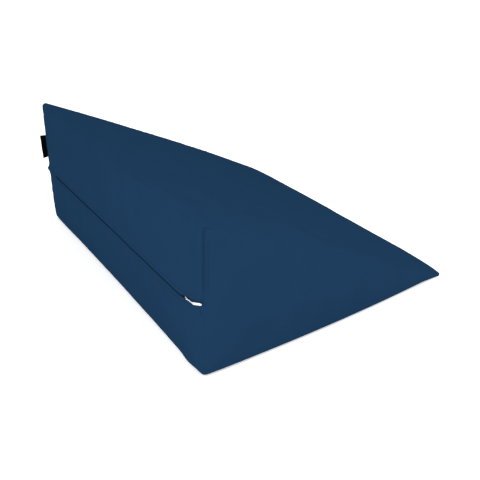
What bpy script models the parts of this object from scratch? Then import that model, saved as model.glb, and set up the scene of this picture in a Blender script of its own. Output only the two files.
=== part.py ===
"""Positioning wedge cushion: a filled triangular wedge in a sewn cover, lying on its rectangular base.

The frame has X along the cushion's width, Y from the upright back to the thin edge, and Z up, with the
origin at the middle of the base. The filled cover is one solid. A closed zip lies in a groove across the
back, with its slider and a hanging pull near the right end, and a folded label stands out of the left back seam.
"""

import math

import bmesh
import bpy
import numpy as np

# Driving dimensions of the filled cushion, in metres.
WIDTH = 0.500
DEPTH = 0.414
HEIGHT = 0.198
BACK_LEAN = 0.0060
FOOT_RADIUS = 0.0065
RIDGE_RADIUS = 0.0055
THIN_RADIUS = 0.0028
SEAM_RADIUS = 0.0070

# How far the filling pushes each face out, and how far the seams and corners are drawn in.
SLOPE_SWELL = 0.0050
SLOPE_EDGE_SWELL = 0.0008
SLOPE_PEAK = 0.72
RIDGE_SLANT = 0.0045
BACK_SWELL = 0.0035
SIDE_SWELL = 0.0065
SIDE_EDGE_BOW = 0.0053
FOOT_HOLLOW = 0.0032
FOOT_CORNER_PINCH = 0.0030
THIN_CORNER_PINCH = 0.0085
THIN_CORNER_REACH = 0.034
SWELL_REACH = 0.040
FOOT_CORNER_BULGE = 0.0015
FOOT_BULGE_PLACE = 0.0350
FOOT_BULGE_REACH = 0.0130
ZIP_END_FOLD = 0.0048
ZIP_END_FOLD_RAISE = 0.0040
ZIP_END_FOLD_HEIGHT = 0.0048
SEAM_NOTCH = 0.0016
SEAM_NOTCH_WIDTH = 0.0016

# The zip across the back.
ZIP_HEIGHT = 0.0862
ZIP_RISE = 0.0035
ZIP_END_RISE = 0.0095
ZIP_END_START = 0.1930
ZIP_END_LENGTH = 0.050
GROOVE_WIDTH = 0.0024
GROOVE_DEPTH = 0.0036
CLOSED_SEAM_WIDTH = 0.0014
CLOSED_SEAM_DEPTH = 0.0016
CHAIN_LEFT = -0.2150
CHAIN_THICKNESS = 0.0016
SLIDER_X = 0.2152
TOUCH_GAP = 0.00035
ZIP_STATIONS = 24

# The slider, the pull on its bridge, and the label.
SLIDER_LENGTH = 0.0080
SLIDER_WIDTH = 0.0046
SLIDER_DEPTH = 0.0030
SLIDER_SINK = 0.0006
SLIDER_PLAY = 0.0005
SLIDER_END_PLAY = 0.0008
SLIDER_NOSE = 0.0014
BRIDGE_WIRE = 0.0010
BRIDGE_WIDTH = 0.0012
BRIDGE_SPAN = 0.0056
BRIDGE_CLEAR = 0.0032
PULL_LENGTH = 0.0362
PULL_THICKNESS = 0.0011
PULL_NECK_WIDTH = 0.0017
PULL_PADDLE_WIDTH = 0.0036
PULL_BEND_START = 0.0160
PULL_BEND_LENGTH = 0.0040
PULL_BEND = math.radians(13.0)
PULL_TILT = math.radians(11.6)
PULL_LEAN_OUT = math.radians(4.0)
PULL_LEAN_IN = math.radians(3.5)
PULL_CLEAR = 0.0003
EYE_HOLE = 0.0020
EYE_WALL = 0.0007
LABEL_HEIGHT = 0.0370
LABEL_MIDDLE_Z = 0.1288
LABEL_REACH = 0.0100
LABEL_LAYER = 0.0008
LABEL_LAYER_GAP = 0.0004
LABEL_CLEAR = -0.0003
LABEL_BEND = 0.0040
LABEL_ANGLE = 274.0
LABEL_TWIST = 24.0
LABEL_ROWS = 7

COVER_BLUE = (0.0130, 0.0467, 0.1046, 1.0)
ZIP_BLUE = (0.0080, 0.0260, 0.0600, 1.0)
NICKEL = (0.72, 0.74, 0.76, 1.0)
LABEL_BLACK = (0.0060, 0.0060, 0.0080, 1.0)

# Rows close to a corner stand at these distances from it, in metres, so that the rounding and the seam show.
CORNER_ROWS = (0.0, 0.0008, 0.0018, 0.0034, 0.0060, 0.0110)
ROWS_ALONG_DEPTH = 10
# Between the corners, the back's rows stand at these heights, closest together near the zip.
BACK_ROW_HEIGHTS = (0.026, 0.046, 0.064, 0.075, 0.0815, 0.087, 0.0925, 0.100, 0.112, 0.128, 0.146, 0.164, 0.180)
COLUMNS_ALONG_WIDTH = 12
SEAM_ANGLES = (0.0, 12.0, 24.0, 34.0, 40.5, 45.0)
SEAM_SIDE_ROWS = (0.006, 0.016, 0.036)
OUTLINE_SAMPLES = 240


def smooth_step(value):
    """0 below 0, 1 above 1, and smooth between."""
    t = np.clip(value, 0.0, 1.0)
    return t * t * (3.0 - 2.0 * t)


def swell(distance, reach=SWELL_REACH):
    """How far a filled face has risen at that distance from the edge that holds it, from 0 to 1."""
    return 1.0 - np.exp(-np.maximum(distance, 0.0) / reach)


def material(name, colour, roughness, metallic=0.0):
    made = bpy.data.materials.new(name)
    made.use_nodes = True
    shader = made.node_tree.nodes["Principled BSDF"]
    shader.inputs["Base Color"].default_value = colour
    shader.inputs["Roughness"].default_value = roughness
    shader.inputs["Metallic"].default_value = metallic
    return made


def object_from(name, points, faces, surface):
    """A closed mesh object from a point array and face lists, its doubled border points made one."""
    mesh = bpy.data.meshes.new(name)
    mesh.from_pydata([tuple(map(float, p)) for p in points], [], faces)
    shape = bmesh.new()
    shape.from_mesh(mesh)
    bmesh.ops.remove_doubles(shape, verts=shape.verts, dist=1e-6)
    bmesh.ops.recalc_face_normals(shape, faces=shape.faces)
    shape.to_mesh(mesh)
    shape.free()
    mesh.shade_smooth()
    mesh.set_sharp_from_angle(angle=math.radians(50.0))
    made = bpy.data.objects.new(name, mesh)
    bpy.context.scene.collection.objects.link(made)
    made.data.materials.append(surface)
    return made


def grid_faces(rows, columns, offset=0, around=False):
    """Quads of a grid of points. With around, the last column joins the first."""
    last = columns if around else columns - 1
    faces = []
    for i in range(rows - 1):
        for j in range(last):
            k = (j + 1) % columns
            a, b = offset + i * columns, offset + (i + 1) * columns
            faces.append((a + j, a + k, b + k, b + j))
    return faces


class Section:
    """The wedge's outline in the YZ plane: straight lines round three circles, at the foot, thin edge and ridge."""

    def __init__(self):
        back = -DEPTH / 2
        foot = np.array([back + FOOT_RADIUS, FOOT_RADIUS])
        thin = np.array([DEPTH / 2 - THIN_RADIUS, THIN_RADIUS])
        ridge = np.array([back + BACK_LEAN + RIDGE_RADIUS, HEIGHT - RIDGE_RADIUS])
        self.circles = {
            "foot": (foot, FOOT_RADIUS),
            "thin": (thin, THIN_RADIUS),
            "ridge": (ridge, RIDGE_RADIUS),
        }
        base = self.tangent_angle("foot", "thin")
        slope = self.tangent_angle("thin", "ridge")
        upright = self.tangent_angle("ridge", "foot") + 2 * math.pi
        self.slope_angle = slope
        thin_middle = (base + slope) / 2
        quarter = math.radians(50.0)
        ridge_middle = (slope + upright) / 2
        foot_middle = (upright + base + 2 * math.pi) / 2
        # Each side starts and ends in the middle of a corner's arc.
        self.sides = {
            "base": (("foot", foot_middle - 2 * math.pi, base), ("thin", base, thin_middle - quarter)),
            "thin": (("thin", thin_middle - quarter, thin_middle + quarter),),
            "slope": (("thin", thin_middle + quarter, slope), ("ridge", slope, ridge_middle)),
            "back": (("ridge", ridge_middle, upright), ("foot", upright, foot_middle)),
        }

    def tangent_angle(self, first, second):
        """Angle of the outward normal of the line that runs from one circle to the next."""
        (a, radius_a), (b, radius_b) = self.circles[first], self.circles[second]
        along = b - a
        return math.atan2(along[1], along[0]) - math.acos((radius_a - radius_b) / np.linalg.norm(along))

    def side(self, name):
        """Fine points along a side, their outward normal angles, and their distance along it."""
        points, angles = [], []
        for circle, start, stop in self.sides[name]:
            centre, radius = self.circles[circle]
            turn = np.linspace(start, stop, OUTLINE_SAMPLES)
            points.append(centre + radius * np.stack([np.cos(turn), np.sin(turn)], axis=1))
            angles.append(turn)
        points, angles = np.concatenate(points), np.concatenate(angles)
        steps = np.linalg.norm(np.diff(points, axis=0), axis=1)
        return points, angles, np.concatenate([[0.0], np.cumsum(steps)])

    def sample(self, name, distances):
        points, angles, along = self.side(name)
        y = np.interp(distances, along, points[:, 0])
        z = np.interp(distances, along, points[:, 1])
        return np.stack([y, z], axis=1), np.interp(distances, along, angles)

    def length(self, name):
        return self.side(name)[2][-1]


def row_distances(length, middle):
    """Distances of the rows along a side: close together at both corners, with the given rows between."""
    ends = np.array(CORNER_ROWS)
    return np.concatenate([ends, middle, (length - ends)[::-1]])


def even_rows(length):
    """Rows spread evenly between the corner rows of a side of that length."""
    return np.linspace(CORNER_ROWS[-1], length - CORNER_ROWS[-1], ROWS_ALONG_DEPTH + 1)[1:-1]


def outline_loop(section):
    """Points, outward normals and drawing-in share round the section, side by side, and each side's row count."""
    base, slope, back = (section.length(name) for name in ("base", "slope", "back"))
    down_back = back - np.array(BACK_ROW_HEIGHTS[::-1])
    rows_up = 2 * len(CORNER_ROWS) + len(down_back)
    distances = {
        "base": row_distances(base, even_rows(base)),
        "thin": np.linspace(0.0, section.length("thin"), rows_up),
        "slope": row_distances(slope, even_rows(slope)),
        "back": row_distances(back, down_back),
    }
    rows_depth = len(distances["base"])
    points, normals = [], []
    for name, along in distances.items():
        sampled, angle = section.sample(name, along)
        points.append(sampled[:-1])
        normals.append(np.stack([np.cos(angle), np.sin(angle)], axis=1)[:-1])
    points, normals = np.concatenate(points), np.concatenate(normals)
    # The wedge is too thin near its tip for the full seam rounding.
    half_thickness = THIN_RADIUS + (DEPTH / 2 - points[:, 0]) * math.tan((math.pi / 2 - section.slope_angle) / 2)
    share = np.clip(0.6 * half_thickness / SEAM_RADIUS, 0.0, 1.0)
    return points, normals, share, rows_depth, rows_up


def wrap_columns():
    """Distance in from the side, drawing-in and seam notch of each column of the wrapped cover, left to right."""
    angles = np.radians(SEAM_ANGLES)
    from_side = SEAM_RADIUS * (1.0 - np.sin(angles))
    inset = SEAM_RADIUS * (1.0 - np.cos(angles))
    notch = SEAM_NOTCH * np.exp(-((SEAM_RADIUS * (angles[-1] - angles) / SEAM_NOTCH_WIDTH) ** 2))
    columns = [(-WIDTH / 2 + f, i, n) for f, i, n in zip(from_side[::-1], inset[::-1], notch[::-1])]
    columns += [(-WIDTH / 2 + SEAM_RADIUS + d, 0.0, 0.0) for d in SEAM_SIDE_ROWS]
    inner = WIDTH / 2 - SEAM_RADIUS - SEAM_SIDE_ROWS[-1]
    columns += [(x, 0.0, 0.0) for x in np.linspace(-inner, inner, COLUMNS_ALONG_WIDTH + 1)[1:-1]]
    columns += [(WIDTH / 2 - SEAM_RADIUS - d, 0.0, 0.0) for d in SEAM_SIDE_ROWS[::-1]]
    columns += [(WIDTH / 2 - f, i, n) for f, i, n in zip(from_side, inset, notch)]
    return columns


def zip_height(x):
    """Height of the zip's line above the base: rising slightly, and more so near its right end."""
    along = np.clip((x + WIDTH / 2) / WIDTH, 0.0, 1.0)
    return ZIP_HEIGHT + ZIP_RISE * along + ZIP_END_RISE * smooth_step((x - ZIP_END_START) / ZIP_END_LENGTH)


def nearest_on_loop(points, loop, values):
    """Shortest distance from each point to a closed outline, and the outline's values at the nearest place."""
    start, stop = loop, np.roll(loop, -1, axis=0)
    along = stop - start
    length_squared = np.maximum((along**2).sum(axis=1), 1e-18)
    share = np.clip(((points[:, None] - start) * along).sum(axis=2) / length_squared, 0.0, 1.0)
    nearest = start + share[..., None] * along
    distance = np.linalg.norm(points[:, None] - nearest, axis=2)
    index = distance.argmin(axis=1)
    rows = np.arange(len(points))
    part = share[rows, index][:, None]
    return distance[rows, index], (1 - part) * values[index] + part * np.roll(values, -1, axis=0)[index]


def side_panel(loop, share, rows_depth, rows_up, seam_x):
    """The grid of one side panel in (outward x, y, z), stretched between the four sides of the end section."""
    first = rows_depth - 1
    second = first + rows_up - 1
    third = second + rows_depth - 1
    base = loop[: first + 1]
    thin = loop[first : second + 1]
    slope = loop[second : third + 1][::-1]
    back = np.concatenate([loop[third:], loop[:1]])[::-1]

    def fractions(side):
        steps = np.concatenate([[0.0], np.cumsum(np.linalg.norm(np.diff(side, axis=0), axis=1))])
        return steps / steps[-1]

    across = (fractions(base) + fractions(slope))[:, None] / 2
    up_back, up_thin = fractions(back)[None], fractions(thin)[None]
    up = (1 - across) * up_back + across * up_thin
    plane = (1 - up)[..., None] * base[:, None] + up[..., None] * slope[:, None]
    bend_back = back - ((1 - up_back[0])[:, None] * back[0] + up_back[0][:, None] * back[-1])
    bend_thin = thin - ((1 - up_thin[0])[:, None] * thin[0] + up_thin[0][:, None] * thin[-1])
    plane = plane + (1 - across)[..., None] * bend_back[None] + across[..., None] * bend_thin[None]
    plane[0], plane[-1], plane[:, 0], plane[:, -1] = back, thin, base, slope

    flat = plane.reshape(-1, 2)
    distance, held = nearest_on_loop(flat, loop, np.column_stack([share, seam_x]))
    local = SEAM_RADIUS * held[:, 0]
    reach = np.clip(distance / local, 0.0, 1.0)
    rounding = (1 - math.sin(math.pi / 4)) * local * np.sqrt(1 - (1 - reach) ** 2)
    recovery = math.sin(math.pi / 4) * SEAM_NOTCH * (1 - np.exp(-((distance / SEAM_NOTCH_WIDTH) ** 2)))
    x = held[:, 1] + rounding + recovery + SIDE_SWELL * swell(distance)
    return np.concatenate([x[:, None], flat], axis=1), plane.shape[:2]


def slope_height(y):
    """Height of the sloping face above the base at that depth, before it swells."""
    run = DEPTH - BACK_LEAN - RIDGE_RADIUS
    return HEIGHT * np.clip((DEPTH / 2 - y) / run, 0.02, 1.0)


def fill_out(points):
    """Moves the points of the plain wedge to where the filling and the drawn-in corners put them."""
    x, y, z = points.T.copy()
    from_side = np.maximum(WIDTH / 2 - np.abs(x), 0.0)
    middle = 1.0 - (2.0 * x / WIDTH) ** 2
    down_slope = np.clip((y + DEPTH / 2) / DEPTH, 0.0, 1.0)
    height_share = np.clip(z / slope_height(y), 0.0, 1.2)
    back_share = 1.0 - smooth_step((y + DEPTH / 2) / 0.11)

    # The slope swells between its seams, most of all in its upper third.
    profile = np.sin(math.pi * down_slope**SLOPE_PEAK)
    rise = profile * (SLOPE_EDGE_SWELL + SLOPE_SWELL * swell(from_side))
    new_z = z + height_share**2 * rise
    new_z -= RIDGE_SLANT * x / WIDTH * height_share * (1.0 - down_slope)

    # The back swells above and below the zip, and its foot is drawn in between the corners.
    up_back = np.clip(z / HEIGHT, 0.0, 1.0)
    from_zip = np.abs(z - zip_height(x))
    belly = np.sin(math.pi * up_back) * swell(from_side) * swell(from_zip + 0.012, 0.022)
    hollow = FOOT_HOLLOW * middle * (1.0 - up_back) ** 2
    new_y = y + back_share * (hollow - BACK_SWELL * belly)

    # The foot's corners and the thin corners are drawn in, and the side seams bow out between their corners.
    foot_corner = np.exp(-(from_side + z) / 0.016) * (1.0 - smooth_step((y + DEPTH / 2) / 0.04))
    new_y += FOOT_CORNER_PINCH * foot_corner
    bulge = np.exp(-(((WIDTH / 2 - x - FOOT_BULGE_PLACE) / FOOT_BULGE_REACH) ** 2)) * (1.0 - smooth_step(z / 0.06))
    new_y -= FOOT_CORNER_BULGE * bulge * (1.0 - smooth_step((y + DEPTH / 2) / 0.05))
    corner = np.exp(-from_side / THIN_CORNER_REACH) * smooth_step((y - 0.08) / (DEPTH / 2 - 0.08))
    new_y -= THIN_CORNER_PINCH * corner
    bow = SIDE_EDGE_BOW * np.sin(math.pi * down_slope) * smooth_step(1.0 - from_side / 0.15)
    new_x = x + np.sign(x) * (bow - 0.3 * FOOT_CORNER_PINCH * foot_corner)

    # The placket's left end is caught in the seam as a small fold.
    fold_off = (z - ZIP_HEIGHT - ZIP_END_FOLD_RAISE) / ZIP_END_FOLD_HEIGHT
    fold_shape = np.exp(-(fold_off**2) - (from_side / 0.008) ** 2)
    fold = ZIP_END_FOLD * fold_shape * (x < 0) * (1.0 - smooth_step((y + DEPTH / 2) / 0.012))
    return np.stack([new_x - 0.4 * fold, new_y - 0.9 * fold, new_z], axis=1)


def back_y(x, z):
    """Depth of the filled back face at that width and height."""
    plain = np.array([[x, -DEPTH / 2 + BACK_LEAN * z / HEIGHT, z]])
    return float(fill_out(plain)[0, 1])


def cushion_shape():
    """Points and faces of the filled cover: one wrapped band, closed by a domed side panel at each end."""
    section = Section()
    points, normals, share, rows_depth, rows_up = outline_loop(section)
    vertices, rims = [], []
    for x, inset, notch in wrap_columns():
        drawn = (inset + math.cos(math.pi / 4) * notch) * share
        loop = points - drawn[:, None] * normals
        # Where the wedge is thin, its seam rounding is smaller too.
        from_side = WIDTH / 2 - abs(x)
        set_in = from_side * share if from_side < SEAM_RADIUS else np.full(len(loop), from_side)
        outward = WIDTH / 2 - set_in - math.sin(math.pi / 4) * notch * share
        rims.append((outward, loop))
        vertices.append(np.column_stack([math.copysign(1.0, x) * outward, loop]))
    faces = grid_faces(len(vertices), len(points), around=True)
    for (outward, loop), sign in ((rims[0], -1.0), (rims[-1], 1.0)):
        panel, shape = side_panel(loop, share, rows_depth, rows_up, outward)
        panel[:, 0] *= sign
        faces += grid_faces(*shape, offset=sum(len(block) for block in vertices))
        vertices.append(panel)
    return fill_out(np.concatenate(vertices)), faces


def cushion(surface):
    """The filled cover as one solid, with the zip's groove cut into its back."""
    points, faces = cushion_shape()
    made = object_from("cushion", points, faces, surface)
    cut_groove(made)
    return made


def groove_stations():
    """Places across the back with the groove's width and depth there: seam, zip, slider pocket, seam."""
    pocket = SLIDER_LENGTH / 2 + SLIDER_END_PLAY
    pocket_width = SLIDER_WIDTH + 2 * SLIDER_PLAY
    pocket_depth = SLIDER_SINK + SLIDER_DEPTH + SLIDER_PLAY
    table = [
        (-WIDTH / 2 + 0.0045, CLOSED_SEAM_WIDTH, CLOSED_SEAM_DEPTH),
        (CHAIN_LEFT - 0.0040, CLOSED_SEAM_WIDTH, CLOSED_SEAM_DEPTH),
        (CHAIN_LEFT - TOUCH_GAP, GROOVE_WIDTH, GROOVE_DEPTH),
    ]
    stop = SLIDER_X - pocket
    for x in np.linspace(CHAIN_LEFT - TOUCH_GAP, stop - 0.0002, ZIP_STATIONS)[1:]:
        table.append((float(x), GROOVE_WIDTH, GROOVE_DEPTH))
    table += [
        (stop, pocket_width, pocket_depth),
        (SLIDER_X + pocket, pocket_width, pocket_depth),
        (SLIDER_X + pocket + 0.0002, CLOSED_SEAM_WIDTH, CLOSED_SEAM_DEPTH),
        (WIDTH / 2 - 0.0045, CLOSED_SEAM_WIDTH, CLOSED_SEAM_DEPTH),
    ]
    return table


def swept_bar(name, stations, surface):
    """A bar of rectangular section along the zip. Each station gives x, width, and its outer and inner depth."""
    points = []
    for x, width, outer, inner in stations:
        z = float(zip_height(x))
        y = back_y(x, z)
        for side, depth in ((-1, outer), (1, outer), (1, inner), (-1, inner)):
            points.append((x, y + depth, z + side * width / 2))
    last = len(points) - 4
    faces = grid_faces(len(stations), 4, around=True)
    faces += [(0, 1, 2, 3), (last, last + 1, last + 2, last + 3)]
    return object_from(name, points, faces, surface)


def cut_groove(body):
    """Cuts the zip's groove and the slider's pocket into the back."""
    outside = -0.006
    stations = [(x, width, outside, depth) for x, width, depth in groove_stations()]
    cutter = swept_bar("groove_cutter", stations, body.data.materials[0])
    combine(body, cutter, "DIFFERENCE")


def zip_chain(surface):
    """The closed chain, a narrow bar on the floor of the groove."""
    width = GROOVE_WIDTH - 2 * TOUCH_GAP
    inner = GROOVE_DEPTH - TOUCH_GAP
    outer = inner - CHAIN_THICKNESS
    stop = SLIDER_X - SLIDER_LENGTH / 2 - SLIDER_END_PLAY
    stations = [(float(x), width, outer, inner) for x in np.linspace(CHAIN_LEFT, stop, ZIP_STATIONS)]
    return swept_bar("zip_chain", stations, surface)


def extruded(name, ring, push, surface):
    """A plate: a flat ring of points and the same ring moved by the push, closed round."""
    shape = bmesh.new()
    face = shape.faces.new([shape.verts.new(point) for point in ring])
    pushed = bmesh.ops.extrude_face_region(shape, geom=[face])
    moved = [v for v in pushed["geom"] if isinstance(v, bmesh.types.BMVert)]
    bmesh.ops.translate(shape, verts=moved, vec=push)
    bmesh.ops.recalc_face_normals(shape, faces=shape.faces)
    mesh = bpy.data.meshes.new(name)
    shape.to_mesh(mesh)
    shape.free()
    mesh.shade_smooth()
    mesh.set_sharp_from_angle(angle=math.radians(40.0))
    made = bpy.data.objects.new(name, mesh)
    bpy.context.scene.collection.objects.link(made)
    made.data.materials.append(surface)
    return made


def combine(body, tool, operation):
    """A Boolean of the body with a tool, which isn't a piece of its own."""
    tool.hide_render = True
    tool.display_type = "WIRE"
    change = body.modifiers.new(tool.name, "BOOLEAN")
    change.operation = operation
    change.object = tool


def box(name, low, high, surface):
    """A plain box between two corners."""
    (x0, y0, z0), (x1, y1, z1) = low, high
    points = [(x, y, z) for x in (x0, x1) for y in (y0, y1) for z in (z0, z1)]
    faces = [(0, 1, 3, 2), (4, 6, 7, 5), (0, 4, 5, 1), (2, 3, 7, 6), (0, 2, 6, 4), (1, 5, 7, 3)]
    return object_from(name, points, faces, surface)


def mirrored(outline):
    """An outline given along its lower edge, in X and Z, completed by its mirror image above the X axis."""
    return outline + [(x, -z) for x, z in outline[::-1]]


def zip_slider(surface):
    """The slider's body in its pocket, with the bridge that carries the pull."""
    half_length, half_width = SLIDER_LENGTH / 2, SLIDER_WIDTH / 2
    outline = mirrored(
        [
            (-half_length, -half_width + SLIDER_NOSE / 2),
            (-half_length + SLIDER_NOSE / 2, -half_width),
            (half_length - SLIDER_NOSE, -half_width),
            (half_length, -half_width + SLIDER_NOSE),
        ]
    )
    made = extruded("zip_slider", [(x, 0.0, z) for x, z in outline], (0.0, SLIDER_DEPTH, 0.0), surface)
    bridge = slider_bridge(surface)
    combine(made, bridge, "UNION")
    bridge.parent = made
    z = float(zip_height(SLIDER_X))
    made.location = (SLIDER_X, back_y(SLIDER_X, z) + SLIDER_SINK, z)
    made.rotation_euler = (0.0, -slider_tilt(), 0.0)
    return made


def slider_bridge(surface):
    """The arch over the slider: a square wire with bevelled shoulders, its feet sunk into the slider's body."""
    right, wire = BRIDGE_SPAN / 2, BRIDGE_WIRE
    top, sunk = -BRIDGE_CLEAR - wire, SLIDER_DEPTH / 4
    half = [
        (right - wire, -BRIDGE_CLEAR),
        (right - wire, sunk),
        (right, sunk),
        (right, top + wire / 2),
        (right - wire / 2, top),
    ]
    arch = half + [(-x, y) for x, y in half[::-1]]
    ring = [(x, y, -BRIDGE_WIDTH / 2) for x, y in arch]
    return extruded("bridge", ring, (0.0, 0.0, BRIDGE_WIDTH), surface)


def slider_tilt():
    """Slope of the zip's line at the slider, as an angle."""
    step = 0.002
    rise = float(zip_height(SLIDER_X + step) - zip_height(SLIDER_X - step))
    return math.atan2(rise, 2 * step)


def pull_line(distance):
    """Place and direction of the pull's middle line: a straight neck, then a paddle that turns up a little."""
    steps = np.linspace(0.0, distance, 61)
    turn = PULL_BEND * smooth_step((steps - PULL_BEND_START) / PULL_BEND_LENGTH)
    moved = np.diff(steps)
    middle = (turn[1:] + turn[:-1]) / 2
    return float((np.cos(middle) * moved).sum()), float((np.sin(middle) * moved).sum()), float(turn[-1])


def pull_stations():
    """Lower and upper edge points of the pull in X and Z, from its eye to its tip."""
    eye, neck, paddle = EYE_HOLE / 2 + EYE_WALL, PULL_NECK_WIDTH / 2, PULL_PADDLE_WIDTH / 2
    widths = [
        (-eye, eye * 0.7),
        (-eye * 0.7, eye),
        (eye * 0.7, eye),
        (eye * 1.3, neck),
        (PULL_BEND_START * 0.6, neck),
        (PULL_BEND_START, neck * 1.05),
        (PULL_BEND_START + PULL_BEND_LENGTH * 0.35, neck * 1.4),
        (PULL_BEND_START + PULL_BEND_LENGTH * 0.65, paddle * 0.95),
        (PULL_BEND_START + PULL_BEND_LENGTH, paddle),
        (PULL_BEND_START + PULL_BEND_LENGTH * 2.0, paddle),
    ]
    for angle in np.radians([0.0, 30.0, 55.0, 75.0]):
        widths.append((PULL_LENGTH - paddle + paddle * math.sin(angle), paddle * math.cos(angle)))
    stations = []
    for distance, half in widths:
        x, z, turn = pull_line(distance)
        across_x, across_z = half * math.sin(turn), half * math.cos(turn)
        stations.append(((x + across_x, z - across_z), (x - across_x, z + across_z)))
    return stations


def pull_depth(x):
    """How far the pull stands out at that distance from its eye: out along the neck, and back in along the paddle."""
    turn = PULL_BEND_START + PULL_BEND_LENGTH / 2
    return max(min(x, turn), 0.0) * math.tan(PULL_LEAN_OUT) - max(x - turn, 0.0) * math.tan(PULL_LEAN_IN)


def zip_pull(surface):
    """The pull: an eye round the bridge's right leg, a slim neck and a wider paddle, lying towards the right."""
    points = []
    for lower, upper in pull_stations():
        for (x, z), depth in ((lower, 0.0), (upper, 0.0), (upper, PULL_THICKNESS), (lower, PULL_THICKNESS)):
            points.append((x, depth - pull_depth(x), z))
    last = len(points) - 4
    faces = grid_faces(len(points) // 4, 4, around=True)
    faces += [(0, 1, 2, 3), (last, last + 1, last + 2, last + 3)]
    made = object_from("zip_pull", points, faces, surface)
    half = EYE_HOLE / 2
    hole = box("pull_eye", (-half, -PULL_THICKNESS, -half), (half, 2 * PULL_THICKNESS, half), surface)
    combine(made, hole, "DIFFERENCE")
    hole.parent = made
    leg = BRIDGE_SPAN / 2 - BRIDGE_WIRE / 2
    z = float(zip_height(SLIDER_X))
    y = back_y(SLIDER_X, z) - PULL_CLEAR - PULL_THICKNESS
    made.location = (SLIDER_X + leg * math.cos(slider_tilt()), y, z + leg * math.sin(slider_tilt()))
    made.rotation_euler = (0.0, -PULL_TILT, 0.0)
    return made


def label(surface):
    """The folded label: a narrow loop of tape that leaves the left back seam and bends back."""
    levels = np.linspace(0.5, -0.5, LABEL_ROWS)
    vertices = []
    for level in levels:
        z = LABEL_MIDDLE_Z + level * LABEL_HEIGHT
        path, normals = label_path(level)
        root = label_root(z)
        for side in (0.5, -0.5):
            for point, normal in zip(path, normals):
                x, y = root + point + side * LABEL_LAYER * normal
                vertices.append((x, y, z))
    count = len(path)
    ring = list(range(count)) + list(range(2 * count - 1, count - 1, -1))
    faces = []
    for i in range(LABEL_ROWS - 1):
        upper, lower = 2 * count * i, 2 * count * (i + 1)
        for a, b in zip(ring, ring[1:] + ring[:1]):
            faces.append((upper + a, upper + b, lower + b, lower + a))
    for first in (0, 2 * count * (LABEL_ROWS - 1)):
        for j in range(count - 1):
            faces.append((first + j, first + j + 1, first + count + j + 1, first + count + j))
    return object_from("label", vertices, faces, surface)


def label_path(level):
    """Centreline of the tape at one height: out along one layer, round the fold and back, with its normals."""
    seam_angle, final = math.radians(228.0), math.radians(LABEL_ANGLE - LABEL_TWIST * level)
    spacing = (LABEL_LAYER_GAP + LABEL_LAYER) / 2
    steps = np.linspace(0.0, LABEL_REACH - spacing, 9)
    angles = seam_angle + (final - seam_angle) * smooth_step(steps / LABEL_BEND)
    along = np.stack([np.cos(angles), np.sin(angles)], axis=1)
    middle = np.concatenate([[[0.0, 0.0]], np.cumsum((along[1:] + along[:-1]) / 2 * np.diff(steps)[:, None], axis=0)])
    across = np.stack([-along[:, 1], along[:, 0]], axis=1)
    turns = np.radians([60.0, 30.0, 0.0, -30.0, -60.0])
    fold = np.sin(turns)[:, None] * across[-1] + np.cos(turns)[:, None] * along[-1]
    path = [middle + spacing * across, middle[-1] + spacing * fold, (middle - spacing * across)[::-1]]
    normals = [across, fold, -across[::-1]]
    return np.concatenate(path), np.concatenate(normals)


def label_root(z):
    """Where the label starts, just outside the left back seam at that height."""
    angle = math.pi / 4
    x = -WIDTH / 2 + SEAM_RADIUS * (1 - math.sin(angle))
    y = -DEPTH / 2 + BACK_LEAN * z / HEIGHT + SEAM_RADIUS * (1 - math.cos(angle))
    seam = fill_out(np.array([[x, y, z]]))[0, :2]
    return seam + LABEL_CLEAR * np.array([-math.cos(angle), -math.sin(angle)])


def main():
    for old in list(bpy.data.objects):
        bpy.data.objects.remove(old)
    cover = material("cover_fabric", COVER_BLUE, 0.75)
    chain = material("zip_tape", ZIP_BLUE, 0.6)
    enamel = material("slider_enamel", ZIP_BLUE, 0.4)
    metal = material("nickel", NICKEL, 0.28, 1.0)
    black = material("label_tape", LABEL_BLACK, 0.7)
    cushion(cover)
    zip_chain(chain)
    zip_slider(enamel)
    zip_pull(metal)
    label(black)


main()
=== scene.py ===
"""Looks of the positioning wedge cushion: cover, zip, pull, label and stitching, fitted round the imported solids.

The frame has X along the cushion's width, Y from the upright back to the thin edge, and Z up. Lengths are in metres.
"""

import math

import bmesh
import bpy
import numpy as np
from mathutils import Matrix, Vector
from mathutils.bvhtree import BVHTree
from mathutils.kdtree import KDTree


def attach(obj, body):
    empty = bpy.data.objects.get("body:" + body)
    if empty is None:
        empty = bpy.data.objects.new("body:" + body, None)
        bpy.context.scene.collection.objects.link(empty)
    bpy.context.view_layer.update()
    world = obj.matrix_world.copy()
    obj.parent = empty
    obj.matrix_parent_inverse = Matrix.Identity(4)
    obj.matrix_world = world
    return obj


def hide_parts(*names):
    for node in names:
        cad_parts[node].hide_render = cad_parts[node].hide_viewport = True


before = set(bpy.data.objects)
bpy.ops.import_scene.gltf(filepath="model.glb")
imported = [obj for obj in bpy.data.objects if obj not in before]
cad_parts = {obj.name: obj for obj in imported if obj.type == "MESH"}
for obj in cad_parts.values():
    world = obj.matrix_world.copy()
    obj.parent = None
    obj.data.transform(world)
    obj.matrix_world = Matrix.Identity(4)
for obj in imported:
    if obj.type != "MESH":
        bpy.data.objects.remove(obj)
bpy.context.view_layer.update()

# The filled cushion, as in the solid.
WIDTH = 0.500
DEPTH = 0.414
HEIGHT = 0.198
BACK_LEAN = 0.0060
FOOT_RADIUS = 0.0065
RIDGE_RADIUS = 0.0055
THIN_RADIUS = 0.0028
SEAM_RADIUS = 0.0070
SLOPE_SWELL = 0.0050
SLOPE_EDGE_SWELL = 0.0008
SLOPE_PEAK = 0.72
RIDGE_SLANT = 0.0045
BACK_SWELL = 0.0035
SIDE_SWELL = 0.0065
SIDE_EDGE_BOW = 0.0053
FOOT_HOLLOW = 0.0032
FOOT_CORNER_PINCH = 0.0030
THIN_CORNER_PINCH = 0.0085
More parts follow.
